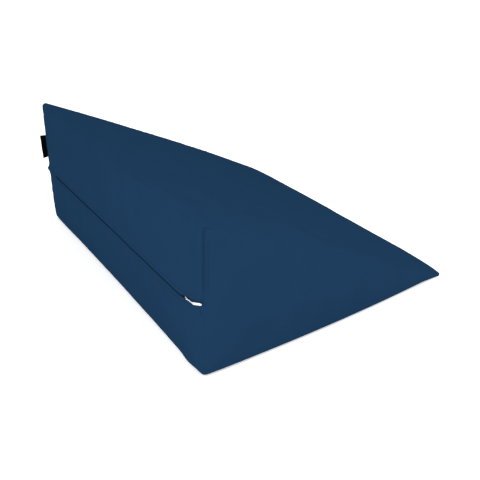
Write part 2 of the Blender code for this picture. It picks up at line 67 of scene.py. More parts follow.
THIN_CORNER_REACH = 0.034
SWELL_REACH = 0.040
FOOT_CORNER_BULGE = 0.0015
FOOT_BULGE_PLACE = 0.0350
FOOT_BULGE_REACH = 0.0130
ZIP_END_FOLD = 0.0048
ZIP_END_FOLD_RAISE = 0.0040
ZIP_END_FOLD_HEIGHT = 0.0048
SEAM_NOTCH = 0.0017
SEAM_NOTCH_WIDTH = 0.0013

# The zip across the back.
ZIP_HEIGHT = 0.0862
ZIP_RISE = 0.0035
ZIP_END_RISE = 0.0095
ZIP_END_START = 0.1930
ZIP_END_LENGTH = 0.050
CHAIN_LEFT = -0.2150
SLIDER_X = 0.2152
GROOVE_HALF = 0.0011
GROOVE_TAPER = 0.42
GROOVE_DEPTH = 0.0034
CLOSED_HALF = 0.0006
CLOSED_DEPTH = 0.0005
SLIDER_HALF = 0.0026
STITCH_ROW = 0.0070
STITCH_PITCH = 0.0040

# Groove profile on one side of the zip's line: share of its half width, and share of its depth.
GROOVE_PROFILE = (
    (0.00, 1.00), (0.70, 1.00), (0.95, 0.95), (1.00, 0.78), (1.00, 0.42), (1.18, 0.18), (1.55, 0.05), (2.10, 0.00),
)
LIP_ROUND = 0.0011
# Distances of the next rows from the zip's line, out past the stitches.
FLAP_ROWS = (0.0030, 0.0040, 0.0050, 0.0059, 0.0065, 0.0070, 0.0075, 0.0081, 0.0092, 0.0108, 0.0128, 0.0150)
BACK_ROW_SPACING = 0.0027
CORNER_ROWS = (0.0, 0.0006, 0.0012, 0.0020, 0.0030, 0.0042, 0.0053, 0.0065, 0.0085, 0.0112)
ROWS_ALONG_DEPTH = 104
THIN_STEPS = 8
COLUMN_SPACING = 0.0027
SEAM_ANGLES = (0.0, 7.0, 14.0, 21.0, 27.0, 32.0, 36.0, 39.5, 42.5, 45.0)
SEAM_SIDE_ROWS = (0.0015, 0.0032, 0.0052, 0.0075, 0.0100, 0.0126)
OUTLINE_SAMPLES = 240
SAME_POINT = 1e-6
TINY_EDGE = 1e-7

# The back seam's upper half is drawn in deeper, and darkened by painted shade. Beside it the turned-in edges make a
# roll and a crease, and painted shade darkens the crease.
DEEP_SEAM_FROM = 0.100
DEEP_SEAM_FADE = 0.030
FAINT_SEAM = 0.20
WELT_FROM = 0.108
WELT_FROM_FADE = 0.030
WELT_TO = 0.172
WELT_TO_FADE = 0.014
WELT_PLACE = 0.0022
WELT_HALF = 0.0010
WELT_RISE = 0.00045
CREASE_PLACE = 0.0036
CREASE_HALF = 0.0008
CREASE_DEPTH = 0.00050
SHADE_DEPTH = 0.010
SHADE_FADE = 0.006
SHADE_REACH = 0.0014
SHADE_ALL_ROUND = 0.35
SHADE_UPPER = 1.15
SHADE_CREASE = 0.85

# The face each point of the cover lies on.
BASE, THIN, SLOPE, BACK, LEFT_PANEL, RIGHT_PANEL = range(6)

# Heights of the cover's fine relief.
GATHER_RISE = 0.00022
HOLLOW_RISE = 0.00055
RIPPLE_RISE = 0.00014
FLAP_RISE = 0.00026
FLAP_FROM = 0.0012
STITCH_DENT = 0.00020
STITCH_DENT_HALF = 0.0009
PUCKER_RISE = 0.00010
REST_RELIEF = 0.15

STITCH_FROM = -0.2330
STITCH_TO = 0.2380
STITCH_LENGTH = 0.0029
THREAD_RADIUS = 0.00024
COIL_PITCH = 0.0022
COIL_DEPTH = 0.0024
COIL_HALF = 0.00078
COIL_RISE = 0.00022
COIL_WIRE = 0.00030
TAPE_EDGE_RADIUS = 0.00042
TAPE_EDGE_OFF = 0.00052
TAPE_EDGE_BEHIND = 0.0007

# The slider, the pull on its bridge, and the label, as in the solids.
SLIDER_LENGTH = 0.0080
SLIDER_WIDTH = 0.0046
SLIDER_DEPTH = 0.0030
SLIDER_SINK = 0.0006
SLIDER_END_PLAY = 0.0008
BRIDGE_WIRE = 0.0010
BRIDGE_SPAN = 0.0056
BRIDGE_CLEAR = 0.0032
PULL_LENGTH = 0.0362
PULL_THICKNESS = 0.0011
PULL_NECK_WIDTH = 0.0017
PULL_PADDLE_WIDTH = 0.0032
PULL_BEND_START = 0.0160
PULL_BEND_LENGTH = 0.0040
PULL_BEND = math.radians(13.0)
PULL_TILT = math.radians(11.6)
PULL_LEAN_OUT = math.radians(4.0)
PULL_LEAN_IN = math.radians(3.5)
PULL_KINK_ROUND = 0.0015
PULL_CLEAR = 0.0003
EYE_HOLE = 0.0020
EYE_WALL = 0.0007
LABEL_HEIGHT = 0.0370
LABEL_MIDDLE_Z = 0.1288
LABEL_REACH = 0.0100
LABEL_LAYER = 0.00032
LABEL_FOLD = 0.0008
LABEL_CLEAR = -0.0003
LABEL_BEND = 0.0040
LABEL_ANGLE = 274.0
LABEL_TWIST = 24.0
LABEL_ROWS = 26

# The cloth simulation of the cover's small folds.
CLOTH_VOXEL = 0.0055
CLOTH_SEAM_NEAR = 0.0015
CLOTH_PRESSURE = 4.0
CLOTH_FRAMES = 20
CLOTH_SHARE = 0.25
CLOTH_CAP = 0.00028
CLOTH_SEAM_SLACK = -0.25
CLOTH_BASE = 0.002
CLOTH_SWELL_STEPS = 60
CLOTH_NEIGHBOURS = 6
CLOTH_BLUR = 0.0005

# Colours in linear light: the cover's two tones, the painted shade of its seams, and the small pieces.
COVER_DEEP = (0.0078, 0.0279, 0.0634, 1.0)
COVER_PALE = (0.0099, 0.0334, 0.0750, 1.0)
SEAM_SHADE_COLOUR = (0.0046, 0.0175, 0.0430, 1.0)
NICKEL = (0.74, 0.76, 0.78)
ENAMEL = (0.0040, 0.0110, 0.0250)
NYLON = (0.0050, 0.0160, 0.0380)
THREAD = (0.0055, 0.0210, 0.0480)
LABEL_BLACK = (0.0022, 0.0022, 0.0028)

# The camera, from the photo's perspective: its place, the image's right and down directions, and its lens in mm.
CAMERA_PLACE = (0.72648, -0.47583, 0.48420)
CAMERA_RIGHT = (0.556638, 0.830749, 0.003142)
CAMERA_DOWN = (0.402444, -0.266342, -0.875843)
CAMERA_LENS = 46.42

# The studio: each lamp's place and power in watts.
SKY_STRENGTH = 1.02
FLOOR_GLOW = 0.40
LAMP_SIZE = 0.60
LAMP_END = ((0.62, 0.20, 1.15), 7.0)
LAMP_LOW = ((0.46, -0.98, 0.38), 2.7)


def smooth_step(value):
    """0 below 0, 1 above 1, and smooth between."""
    t = np.clip(value, 0.0, 1.0)
    return t * t * (3.0 - 2.0 * t)


def fade(value):
    """1 below 0, 0 above 1, and smooth between."""
    return 1.0 - smooth_step(value)


def hump(offset, half):
    """1 at no offset, falling off smoothly to either side."""
    return np.exp(-((offset / half) ** 2))


def distance_along(line):
    """How far along a line each of its points lies."""
    return np.concatenate([[0.0], np.cumsum(np.linalg.norm(np.diff(line, axis=0), axis=1))])


def unit(vectors):
    """The vectors at a length of one."""
    return vectors / np.maximum(np.linalg.norm(vectors, axis=1), 1e-15)[:, None]


def swell(distance, reach=SWELL_REACH):
    """How far a filled face has risen at that distance from the edge that holds it, from 0 to 1."""
    return 1.0 - np.exp(-np.maximum(distance, 0.0) / reach)


def grid_faces(rows, columns, offset=0, around=False):
    """Quads of a grid of points. With around, the last column joins the first."""
    last = columns if around else columns - 1
    faces = []
    for i in range(rows - 1):
        for j in range(last):
            k = (j + 1) % columns
            a, b = offset + i * columns, offset + (i + 1) * columns
            faces.append((a + j, a + k, b + k, b + j))
    return faces


class Section:
    """The wedge's outline in the YZ plane: straight lines round three circles, at the foot, thin edge and ridge."""

    def __init__(self):
        back = -DEPTH / 2
        foot = np.array([back + FOOT_RADIUS, FOOT_RADIUS])
        thin = np.array([DEPTH / 2 - THIN_RADIUS, THIN_RADIUS])
        ridge = np.array([back + BACK_LEAN + RIDGE_RADIUS, HEIGHT - RIDGE_RADIUS])
        self.circles = {"foot": (foot, FOOT_RADIUS), "thin": (thin, THIN_RADIUS), "ridge": (ridge, RIDGE_RADIUS)}
        base = self.tangent_angle("foot", "thin")
        slope = self.tangent_angle("thin", "ridge")
        upright = self.tangent_angle("ridge", "foot") + 2 * math.pi
        self.slope_angle = slope
        thin_middle = (base + slope) / 2
        quarter = math.radians(50.0)
        ridge_middle = (slope + upright) / 2
        foot_middle = (upright + base + 2 * math.pi) / 2
        # Each side starts and ends in the middle of a corner's arc.
        self.sides = {
            "base": (("foot", foot_middle - 2 * math.pi, base), ("thin", base, thin_middle - quarter)),
            "thin": (("thin", thin_middle - quarter, thin_middle + quarter),),
            "slope": (("thin", thin_middle + quarter, slope), ("ridge", slope, ridge_middle)),
            "back": (("ridge", ridge_middle, upright), ("foot", upright, foot_middle)),
        }

    def tangent_angle(self, first, second):
        """Angle of the outward normal of the line that runs from one circle to the next."""
        (a, radius_a), (b, radius_b) = self.circles[first], self.circles[second]
        along = b - a
        return math.atan2(along[1], along[0]) - math.acos((radius_a - radius_b) / np.linalg.norm(along))

    def side(self, name):
        """Fine points along a side, their outward normal angles, and their distance along it."""
        points, angles = [], []
        for circle, start, stop in self.sides[name]:
            centre, radius = self.circles[circle]
            turn = np.linspace(start, stop, OUTLINE_SAMPLES)
            points.append(centre + radius * np.stack([np.cos(turn), np.sin(turn)], axis=1))
            angles.append(turn)
        points = np.concatenate(points)
        return points, np.concatenate(angles), distance_along(points)

    def sample(self, name, distances):
        """Points at those distances along a side, and their outward normal angles."""
        points, angles, along = self.side(name)
        y = np.interp(distances, along, points[:, 0])
        z = np.interp(distances, along, points[:, 1])
        return np.stack([y, z], axis=1), np.interp(distances, along, angles)

    def length(self, name):
        """Length of a side."""
        return self.side(name)[2][-1]


def back_rows(section):
    """Distances of the back's rows from the ridge down, with each row's place across the zip and groove depth."""
    points, _, along = section.side("back")
    rows = []
    for share, depth in GROOVE_PROFILE:
        # Rows on the groove's upright wall stay a hair apart.
        nominal = GROOVE_HALF * share + 1e-5 * len(rows)
        rows.append((nominal, min(share, 1.0), max(share - 1.0, 0.0), depth))
    for distance in FLAP_ROWS:
        rows.append((distance, 1.0, (distance - GROOVE_HALF) / LIP_ROUND, 0.0))
    rows += [(-s, -a, -b, d) for s, a, b, d in rows[1:]]
    length = along[-1]
    low, high = length - CORNER_ROWS[-1], CORNER_ROWS[-1]
    table = []
    for row in rows:
        distance = np.interp(-(ZIP_HEIGHT + row[0]), -points[:, 1], along)
        table.append((distance, *row))
    first, last = min(t[0] for t in table), max(t[0] for t in table)
    for start, stop in ((high, first), (last, low)):
        count = max(2, int(round((stop - start) / BACK_ROW_SPACING)))
        for distance in np.linspace(start, stop, count + 1)[1:-1]:
            table.append((distance, 1.0, 0.0, 0.0, 0.0))
    for near in CORNER_ROWS:
        table.append((near, 1.0, 0.0, 0.0, 0.0))
        table.append((length - near, 1.0, 0.0, 0.0, 0.0))
    return np.array(sorted(table))


def outline_loop(section):
    """Points round the section, side by side, with their normals, drawing-in share, place along it, and zip rows."""
    corner = np.array(CORNER_ROWS)
    back = back_rows(section)
    rows_up = len(back)
    distances = {}
    for name in ("base", "slope"):
        length = section.length(name)
        middle = np.linspace(corner[-1], length - corner[-1], ROWS_ALONG_DEPTH + 1)[1:-1]
        distances[name] = np.concatenate([corner, middle, (length - corner)[::-1]])
    # The thin edge is short, so most of its rows fall on each other, and their points become one.
    steps = np.round(np.linspace(0.0, THIN_STEPS, rows_up)) / THIN_STEPS
    distances["thin"] = steps * section.length("thin")
    distances["back"] = back[:, 0]
    run, table = 0.0, []
    for code, name in enumerate(("base", "thin", "slope", "back")):
        sampled, angle = section.sample(name, distances[name])
        zip_rows = back[:, 1:] if name == "back" else np.tile([1.0, 0.0, 0.0, 0.0], (len(sampled), 1))
        columns = [sampled, np.cos(angle), np.sin(angle), run + distances[name], np.full(len(sampled), code), zip_rows]
        table.append(np.column_stack(columns)[:-1])
        run += section.length(name)
    table = np.concatenate(table)
    points = table[:, :2]
    half_thickness = THIN_RADIUS + (DEPTH / 2 - points[:, 0]) * math.tan((math.pi / 2 - section.slope_angle) / 2)
    share = np.clip(0.6 * half_thickness / SEAM_RADIUS, 0.0, 1.0)
    return dict(
        points=points,
        normals=table[:, 2:4],
        share=share,
        place=table[:, 4],
        face=table[:, 5],
        zip=table[:, 6:],
        rows_depth=len(distances["base"]),
        rows_up=rows_up,
    )


def seam_strength(loop):
    """How deep the side seam is drawn in along the section: deep up the back's upper half, faint elsewhere."""
    z, y = loop["points"][:, 1], loop["points"][:, 0]
    back = smooth_step((z - DEEP_SEAM_FROM) / DEEP_SEAM_FADE) * fade((y + DEPTH / 2 - 0.004) / 0.030)
    return FAINT_SEAM + (1.0 - FAINT_SEAM) * back


def wrap_columns():
    """Place across the width, drawing-in, seam notch, and arc distance from the seam of each column."""
    angles = np.radians(SEAM_ANGLES)
    from_side = SEAM_RADIUS * (1.0 - np.sin(angles))
    inset = SEAM_RADIUS * (1.0 - np.cos(angles))
    arc = SEAM_RADIUS * (angles[-1] - angles)
    notch = SEAM_NOTCH * hump(arc, SEAM_NOTCH_WIDTH)
    flat = WIDTH / 2 - SEAM_RADIUS
    inner = flat - SEAM_SIDE_ROWS[-1]
    count = int(round(2 * inner / COLUMN_SPACING))
    middle = [(x, 0.0, 0.0, flat - abs(x) + arc[0]) for x in np.linspace(-inner, inner, count + 1)[1:-1]]
    right = [(flat - d, 0.0, 0.0, arc[0] + d) for d in SEAM_SIDE_ROWS[::-1]]
    right += [(WIDTH / 2 - f, i, n, a) for f, i, n, a in zip(from_side, inset, notch, arc)]
    return [(-x, *rest) for x, *rest in right[::-1]] + middle + right


def zip_height(x):
    """Height of the zip's line above the base: rising slightly, and more so near its right end."""
    along = np.clip((x + WIDTH / 2) / WIDTH, 0.0, 1.0)
    return ZIP_HEIGHT + ZIP_RISE * along + ZIP_END_RISE * smooth_step((x - ZIP_END_START) / ZIP_END_LENGTH)


def groove_size(x):
    """Half width and depth of the groove at that place: closed seam, open over the chain, wide round the slider."""
    open_share = smooth_step((x - CHAIN_LEFT + 0.003) / 0.006) * fade((x - SLIDER_X - 0.0040) / 0.004)
    round_slider = np.exp(-(((x - SLIDER_X) / 0.0062) ** 4))
    gape = GROOVE_HALF * (1.0 + GROOVE_TAPER * (0.5 - smooth_step((x + 0.22) / 0.40)))
    half = CLOSED_HALF + (gape - CLOSED_HALF) * open_share + (SLIDER_HALF - gape) * round_slider
    depth = CLOSED_DEPTH + (GROOVE_DEPTH - CLOSED_DEPTH) * open_share
    inside = smooth_step((WIDTH / 2 - 0.003 - np.abs(x)) / 0.006)
    return half, depth * inside


def nearest_on_loop(points, loop, values):
    """Shortest distance from each point to a closed outline, and the outline's values at the nearest place."""
    start, stop = loop, np.roll(loop, -1, axis=0)
    along = stop - start
    length_squared = np.maximum((along**2).sum(axis=1), 1e-18)
    distances, found = [], []
    for chunk in np.array_split(points, max(1, len(points) // 4000)):
        share = np.clip(((chunk[:, None] - start) * along).sum(axis=2) / length_squared, 0.0, 1.0)
        nearest = start + share[..., None] * along
        distance = np.linalg.norm(chunk[:, None] - nearest, axis=2)
        index = distance.argmin(axis=1)
        rows = np.arange(len(chunk))
        part = share[rows, index][:, None]
        distances.append(distance[rows, index])
        found.append((1 - part) * values[index] + part * np.roll(values, -1, axis=0)[index])
    return np.concatenate(distances), np.concatenate(found)


def side_panel(outline, loop, seam_x, strength):
    """The grid of one side panel in (outward x, y, z), with distance from the seam and place along it."""
    first = loop["rows_depth"] - 1
    second = first + loop["rows_up"] - 1
    third = second + loop["rows_depth"] - 1
    base = outline[: first + 1]
    thin = outline[first : second + 1]
    slope = outline[second : third + 1][::-1]
    back = np.concatenate([outline[third:], outline[:1]])[::-1]

    def fractions(side):
        along = distance_along(side)
        return along / along[-1]

    def bend(side, share):
        return side - ((1 - share)[:, None] * side[0] + share[:, None] * side[-1])

    across = (fractions(base) + fractions(slope))[:, None] / 2
    # Inside the panel the rows spread evenly; only at the back do they crowd together at the zip.
    even = np.linspace(0.0, 1.0, loop["rows_up"])
    up_back, up_thin = fractions(back)[None], fractions(thin)[None]
    blend = smooth_step(across / 0.10)
    up = (1 - blend) * up_back + blend * ((1 - across) * even[None] + across * up_thin)
    plane = (1 - up)[..., None] * base[:, None] + up[..., None] * slope[:, None]
    bend_back, bend_thin = bend(back, up_back[0]), bend(thin, up_thin[0])
    bend_shift = np.stack([np.interp(up, up_back[0], bend_back[:, k]) for k in (0, 1)], axis=2)
    plane = plane + (1 - across)[..., None] * bend_shift + across[..., None] * bend_thin[None]
    plane[0], plane[-1], plane[:, 0], plane[:, -1] = back, thin, base, slope

    flat = plane.reshape(-1, 2)
    values = np.column_stack([loop["share"], seam_x, loop["place"], strength])
    distance, held = nearest_on_loop(flat, outline, values)
    local = SEAM_RADIUS * held[:, 0]
    reach = np.clip(distance / local, 0.0, 1.0)
    rounding = (1 - math.sin(math.pi / 4)) * local * np.sqrt(1 - (1 - reach) ** 2)
    notch = math.sin(math.pi / 4) * SEAM_NOTCH * held[:, 3]
    recovery = notch * (1 - hump(distance, SEAM_NOTCH_WIDTH))
    x = held[:, 1] + rounding + recovery + SIDE_SWELL * swell(distance)
    return np.concatenate([x[:, None], flat], axis=1), plane.shape[:2], distance, held[:, 2]


def slope_height(y):
    """Height of the sloping face above the base at that depth, before it swells."""
    run = DEPTH - BACK_LEAN - RIDGE_RADIUS
    return HEIGHT * np.clip((DEPTH / 2 - y) / run, 0.02, 1.0)


def fill_out(points):
    """Moves the points of the plain wedge to where the filling and the drawn-in corners put them."""
    x, y, z = points.T
    from_back = y + DEPTH / 2
    from_side = np.maximum(WIDTH / 2 - np.abs(x), 0.0)
    middle = 1.0 - (2.0 * x / WIDTH) ** 2
    down_slope = np.clip(from_back / DEPTH, 0.0, 1.0)
    height_share = np.clip(z / slope_height(y), 0.0, 1.2)
    back_share = fade(from_back / 0.11)

    # The slope swells between its seams, most of all in its upper third.
    profile = np.sin(math.pi * down_slope**SLOPE_PEAK)
    rise = profile * (SLOPE_EDGE_SWELL + SLOPE_SWELL * swell(from_side))
    new_z = z + height_share**2 * rise
    new_z -= RIDGE_SLANT * x / WIDTH * height_share * (1.0 - down_slope)

    # The back swells above and below the zip, and its foot is drawn in between the corners.
    up_back = np.clip(z / HEIGHT, 0.0, 1.0)
    from_zip = np.abs(z - zip_height(x))
    belly = np.sin(math.pi * up_back) * swell(from_side) * swell(from_zip + 0.012, 0.022)
    hollow = FOOT_HOLLOW * middle * (1.0 - up_back) ** 2
    new_y = y + back_share * (hollow - BACK_SWELL * belly)

    # The foot's corners and the thin corners are drawn in, and the side seams bow out between their corners.
    foot_corner = np.exp(-(from_side + z) / 0.016) * fade(from_back / 0.04)
    new_y += FOOT_CORNER_PINCH * foot_corner
    bulge = hump(WIDTH / 2 - x - FOOT_BULGE_PLACE, FOOT_BULGE_REACH) * fade(z / 0.06)
    new_y -= FOOT_CORNER_BULGE * bulge * fade(from_back / 0.05)
    corner = np.exp(-from_side / THIN_CORNER_REACH) * smooth_step((y - 0.08) / (DEPTH / 2 - 0.08))
    new_y -= THIN_CORNER_PINCH * corner
    bow = SIDE_EDGE_BOW * np.sin(math.pi * down_slope) * smooth_step(1.0 - from_side / 0.15)
    new_x = x + np.sign(x) * (bow - 0.3 * FOOT_CORNER_PINCH * foot_corner)

    # The placket's left end is caught in the seam as a small fold.
    fold_off = (z - ZIP_HEIGHT - ZIP_END_FOLD_RAISE) / ZIP_END_FOLD_HEIGHT
    fold_shape = np.exp(-(fold_off**2) - (from_side / 0.008) ** 2)
    fold = ZIP_END_FOLD * fold_shape * (x < 0) * fade(from_back / 0.012)
    return np.stack([new_x - 0.4 * fold, new_y - 0.9 * fold, new_z], axis=1)


def back_y(x, z):
    """Depth of the filled back face at that width and height."""
    x, z = np.broadcast_arrays(np.asarray(x, float), np.asarray(z, float))
    plain = np.column_stack([x.ravel(), -DEPTH / 2 + BACK_LEAN * z.ravel() / HEIGHT, z.ravel()])
    return fill_out(plain)[:, 1].reshape(x.shape)


def cover_grid():
    """Points, faces and fields of the filled cover: one wrapped band, closed by a domed side panel at each end."""
    section = Section()
    loop = outline_loop(section)
    points, normals, share = loop["points"], loop["normals"], loop["share"]
    strength = seam_strength(loop)
    on_back = loop["face"] == BACK
    nominal, inside, beyond, deep = loop["zip"].T
    zip_row = on_back & (nominal < 0.5)
    blocks, fields, rims = [], [], []
    for x, inset, notch, arc in wrap_columns():
        drawn = (inset + math.cos(math.pi / 4) * notch * strength) * share
        ring = points - drawn[:, None] * normals
        from_side = WIDTH / 2 - abs(x)
        set_in = from_side * share if from_side < SEAM_RADIUS else np.full(len(ring), from_side)
        outward = WIDTH / 2 - set_in - math.sin(math.pi / 4) * notch * strength * share
        rims.append(outward)
        # The back's rows follow the zip's line, and those in the groove go in.
        half, depth = groove_size(x)
        line = zip_height(x) - ZIP_HEIGHT
        z = ring[:, 1]
        near = np.where(z < ZIP_HEIGHT, smooth_step(z / ZIP_HEIGHT), smooth_step((HEIGHT - z) / (HEIGHT - ZIP_HEIGHT)))
        shift = np.where(on_back, near * line, 0.0)
        wanted = half * inside + LIP_ROUND * beyond
        spread = (half - GROOVE_HALF) * (np.exp(-np.maximum(np.abs(nominal) - GROOVE_HALF, 0.0) / 0.004) - 1.0)
        shift = shift + np.where(zip_row, wanted - nominal + np.sign(nominal) * spread * (np.abs(inside) == 1.0), 0.0)
        held = smooth_step((arc - 0.0010) / 0.004)
        ring[:, 1] = z + shift * (held if from_side < SEAM_RADIUS else 1.0)
        ring[:, 0] += BACK_LEAN / HEIGHT * shift
        blocks.append(np.column_stack([math.copysign(1.0, x) * outward, ring]))
        groove = np.where(zip_row, deep * depth, 0.0)
        across = np.where(on_back, ring[:, 1] - zip_height(x), 1.0)
        fields.append(np.column_stack([np.full(len(ring), arc), loop["place"], loop["face"], groove, across]))
    faces = grid_faces(len(blocks), len(points), around=True)
    for block, outward, sign in ((blocks[0], rims[0], -1.0), (blocks[-1], rims[-1], 1.0)):
        outline = block[:, 1:]
        panel, shape, distance, place = side_panel(outline, loop, outward, strength)
        panel[:, 0] *= sign
        faces += grid_faces(*shape, offset=sum(len(block) for block in blocks))
        blocks.append(panel)
        code = np.full(len(panel), float(LEFT_PANEL if sign < 0 else RIGHT_PANEL))
        nothing = np.zeros(len(panel))
        fields.append(np.column_stack([distance, place, code, nothing, nothing + 1.0]))
    return np.concatenate(blocks), faces, np.concatenate(fields)


def vertex_normals(points, quads):
    """Area-weighted normals of the points of a quad mesh."""
    corners = points[quads]
    across = np.cross(corners[:, 2] - corners[:, 0], corners[:, 3] - corners[:, 1])
    total = np.zeros_like(points)
    for k in range(4):
        np.add.at(total, quads[:, k], across)
    return unit(total)


def waves(places, count, shortest, longest, seed):
    """Smooth noise of unit size: a fixed sum of plane waves with lengths between the two."""
    rng = np.random.default_rng(seed)
    total = np.zeros(len(places))
    for _ in range(count):
        direction = rng.normal(size=places.shape[1])
        direction /= np.linalg.norm(direction)
        length = math.exp(rng.uniform(math.log(shortest), math.log(longest)))
        phase = rng.uniform(0.0, 2.0 * math.pi)
        total += np.sin(2.0 * math.pi / length * (places @ direction) + phase)
    return total / math.sqrt(count / 2.0)


def relief(points, fields):
    """Height of the cover's folds and puckers above the filled form, in metres."""
    arc, place, face, _, across = fields.T
    down = smooth_step(points[:, 2] / 0.012)
    seam_near = np.exp(-arc / 0.013)
    off_seam = smooth_step(arc / 0.004)
    # Gathers run away from each seam, of changing length and strength.
    line = np.column_stack([place, 0.25 * arc])
    gather = waves(line, 9, 0.009, 0.022, 11) * (0.6 + 0.4 * waves(line, 4, 0.05, 0.12, 12))
    total = GATHER_RISE * gather * seam_near * off_seam
    # Slow hollows and rises, as the filling lies.
    total += HOLLOW_RISE * waves(points, 14, 0.075, 0.21, 21) * swell(arc, 0.03)
    total += RIPPLE_RISE * waves(points, 18, 0.022, 0.055, 31) * swell(arc, 0.02)
    # The flaps over the zip: slightly full between lip and stitches, drawn in along the stitches.
    s = np.abs(across)
    on_back = (face == BACK) & (s < 0.05)
    flap = np.sin(math.pi * np.clip((s - FLAP_FROM) / (STITCH_ROW - FLAP_FROM), 0.0, 1.0))
    stitch = hump(s - STITCH_ROW, STITCH_DENT_HALF)
    held = np.exp(-np.maximum(s - STITCH_ROW, 0.0) / 0.006) * (s > STITCH_ROW)
    pucker = waves(points[:, :1], 8, 0.007, 0.016, 41)
    fine = FLAP_RISE * flap - STITCH_DENT * stitch + PUCKER_RISE * pucker * (held + flap * 0.8)
    total += np.where(on_back, fine, 0.0)
    # The seam's turned-in edges lie under the side panel as a low roll, along the upper part of the back seam.
    upper = smooth_step((points[:, 2] - WELT_FROM) / WELT_FROM_FADE) * fade((points[:, 2] - WELT_TO) / WELT_TO_FADE)
    welt = WELT_RISE * hump(arc - WELT_PLACE, WELT_HALF)
    crease = CREASE_DEPTH * hump(arc - CREASE_PLACE, CREASE_HALF)
    near_back = points[:, 1] < -DEPTH / 2 + 0.030
    total += np.where((face >= LEFT_PANEL) & near_back, (welt - crease) * upper, 0.0)
    quiet = np.where(on_back, smooth_step((s - FLAP_FROM) / 0.004), 1.0)
    return total * down * np.where((face == BASE) | (face == THIN), REST_RELIEF, 1.0) * (0.25 + 0.75 * quiet)


def placed(name, data):
    """A new object of that mesh, curve, lamp or camera, in the scene."""
    made = bpy.data.objects.new(name, data)
    bpy.context.scene.collection.objects.link(made)
    return made


def evaluated(thing):
    """The object with its modifiers applied."""
    return thing.evaluated_get(bpy.context.evaluated_depsgraph_get())


def smoothed(name, mesh, merge, tiny=0.0):
    """The mesh as a smooth object, its doubled points made one and its faces turned outwards."""
    shape = bmesh.new()
    shape.from_mesh(mesh)
    if merge:
        bmesh.ops.remove_doubles(shape, verts=shape.verts, dist=merge)
    if tiny:
        bmesh.ops.dissolve_degenerate(shape, edges=shape.edges, dist=tiny)
    bmesh.ops.recalc_face_normals(shape, faces=shape.faces)
    shape.to_mesh(mesh)
    shape.free()
    mesh.shade_smooth()
    return placed(name, mesh)


def mesh_from(name, points, faces, merge=0.0, seam=None):
    """A mesh object from arrays, with the painted shade of its seams."""
    mesh = bpy.data.meshes.new(name)
    mesh.from_pydata(points.tolist(), [], faces)
    if seam is not None:
        mesh.attributes.new("seam", "FLOAT", "POINT").data.foreach_set("value", np.asarray(seam, np.float32))
    return smoothed(name, mesh, merge, TINY_EDGE if merge else 0.0)


def search_tree(points):
    """A search tree of the points."""
    tree = KDTree(len(points))
    for index, place in enumerate(points):
        tree.insert(place, index)
    tree.balance()
    return tree


def nearest(points, others):
    """Distance from each point to the nearest of the others, and which one that is."""
    tree = search_tree(others)
    found = [tree.find(place)[1:] for place in points]
    return np.array([f[1] for f in found]), np.array([f[0] for f in found])


def evened(values, edges, times):
    """Values averaged with their neighbours along the edges, that many times over."""
    count = np.ones(len(values))
    for k in (0, 1):
        np.add.at(count, edges[:, k], 1.0)
    for _ in range(times):
        total = values.copy()
        np.add.at(total, edges[:, 0], values[edges[:, 1]])
        np.add.at(total, edges[:, 1], values[edges[:, 0]])
        values = total / count
    return values


def pressed_out(points, faces, fields):
    """Heights of the small folds that the filling's pressure gives the cloth where its seams hold it.

    An even copy of the cover is filled by a cloth simulation, held at its zip, its base and stretches of its seams.
    What it adds beyond a slow swelling is kept.
    """
    trial = mesh_from("cover_trial", points, faces, merge=SAME_POINT)
    remesh = trial.modifiers.new("even", "REMESH")
    remesh.mode = "VOXEL"
    remesh.voxel_size = CLOTH_VOXEL
    even = bpy.data.meshes.new_from_object(evaluated(trial))
    trial.modifiers.clear()
    trial.data = even
    rest = np.array([vertex.co for vertex in even.vertices])
    normals = np.array([vertex.normal for vertex in even.vertices])
    edges = np.array([edge.vertices for edge in even.edges])

    seam = fields[:, 0] < CLOTH_SEAM_NEAR
    gap, which = nearest(rest, points[seam])
    place = fields[seam, 1][which]
    # The seams hold over uneven stretches, other ones at each end.
    hold = waves(np.column_stack([place, np.sign(rest[:, 0]) * 0.1]), 8, 0.016, 0.040, 51) > CLOTH_SEAM_SLACK
    zip_gap, _ = nearest(rest, points[(fields[:, 2] == BACK) & (np.abs(fields[:, 4]) < CLOTH_SEAM_NEAR)])
    held = ((gap < CLOTH_VOXEL) & hold) | (zip_gap < CLOTH_VOXEL) | (rest[:, 2] < CLOTH_BASE)
    group = trial.vertex_groups.new(name="held")
    group.add([int(index) for index in np.flatnonzero(held)], 1.0, "REPLACE")

    cloth = trial.modifiers.new("cloth", "CLOTH")
    cloth.settings.vertex_group_mass = "held"
    cloth.settings.use_pressure = True
    cloth.settings.uniform_pressure_force = CLOTH_PRESSURE
    cloth.settings.effector_weights.gravity = 0.0
    scene = bpy.context.scene
    for frame_number in range(1, CLOTH_FRAMES + 1):
        scene.frame_set(frame_number)
    moved = np.array([vertex.co for vertex in evaluated(trial).data.vertices])
    scene.frame_set(1)
    bpy.data.objects.remove(trial)

    offset = ((moved - rest) * normals).sum(axis=1)
    fold = evened(offset, edges, 1) - evened(offset, edges, CLOTH_SWELL_STEPS)
    fold = CLOTH_CAP * np.tanh(CLOTH_SHARE * fold / CLOTH_CAP)
    tree = search_tree(rest)
    height = np.empty(len(points))
    for index, spot in enumerate(points):
        around = tree.find_n(spot, CLOTH_NEIGHBOURS)
        weights = np.array([1.0 / (found[2] + CLOTH_BLUR) ** 2 for found in around])
        height[index] = weights @ fold[[found[1] for found in around]] / weights.sum()
    return height * smooth_step(fields[:, 0] / 0.004)


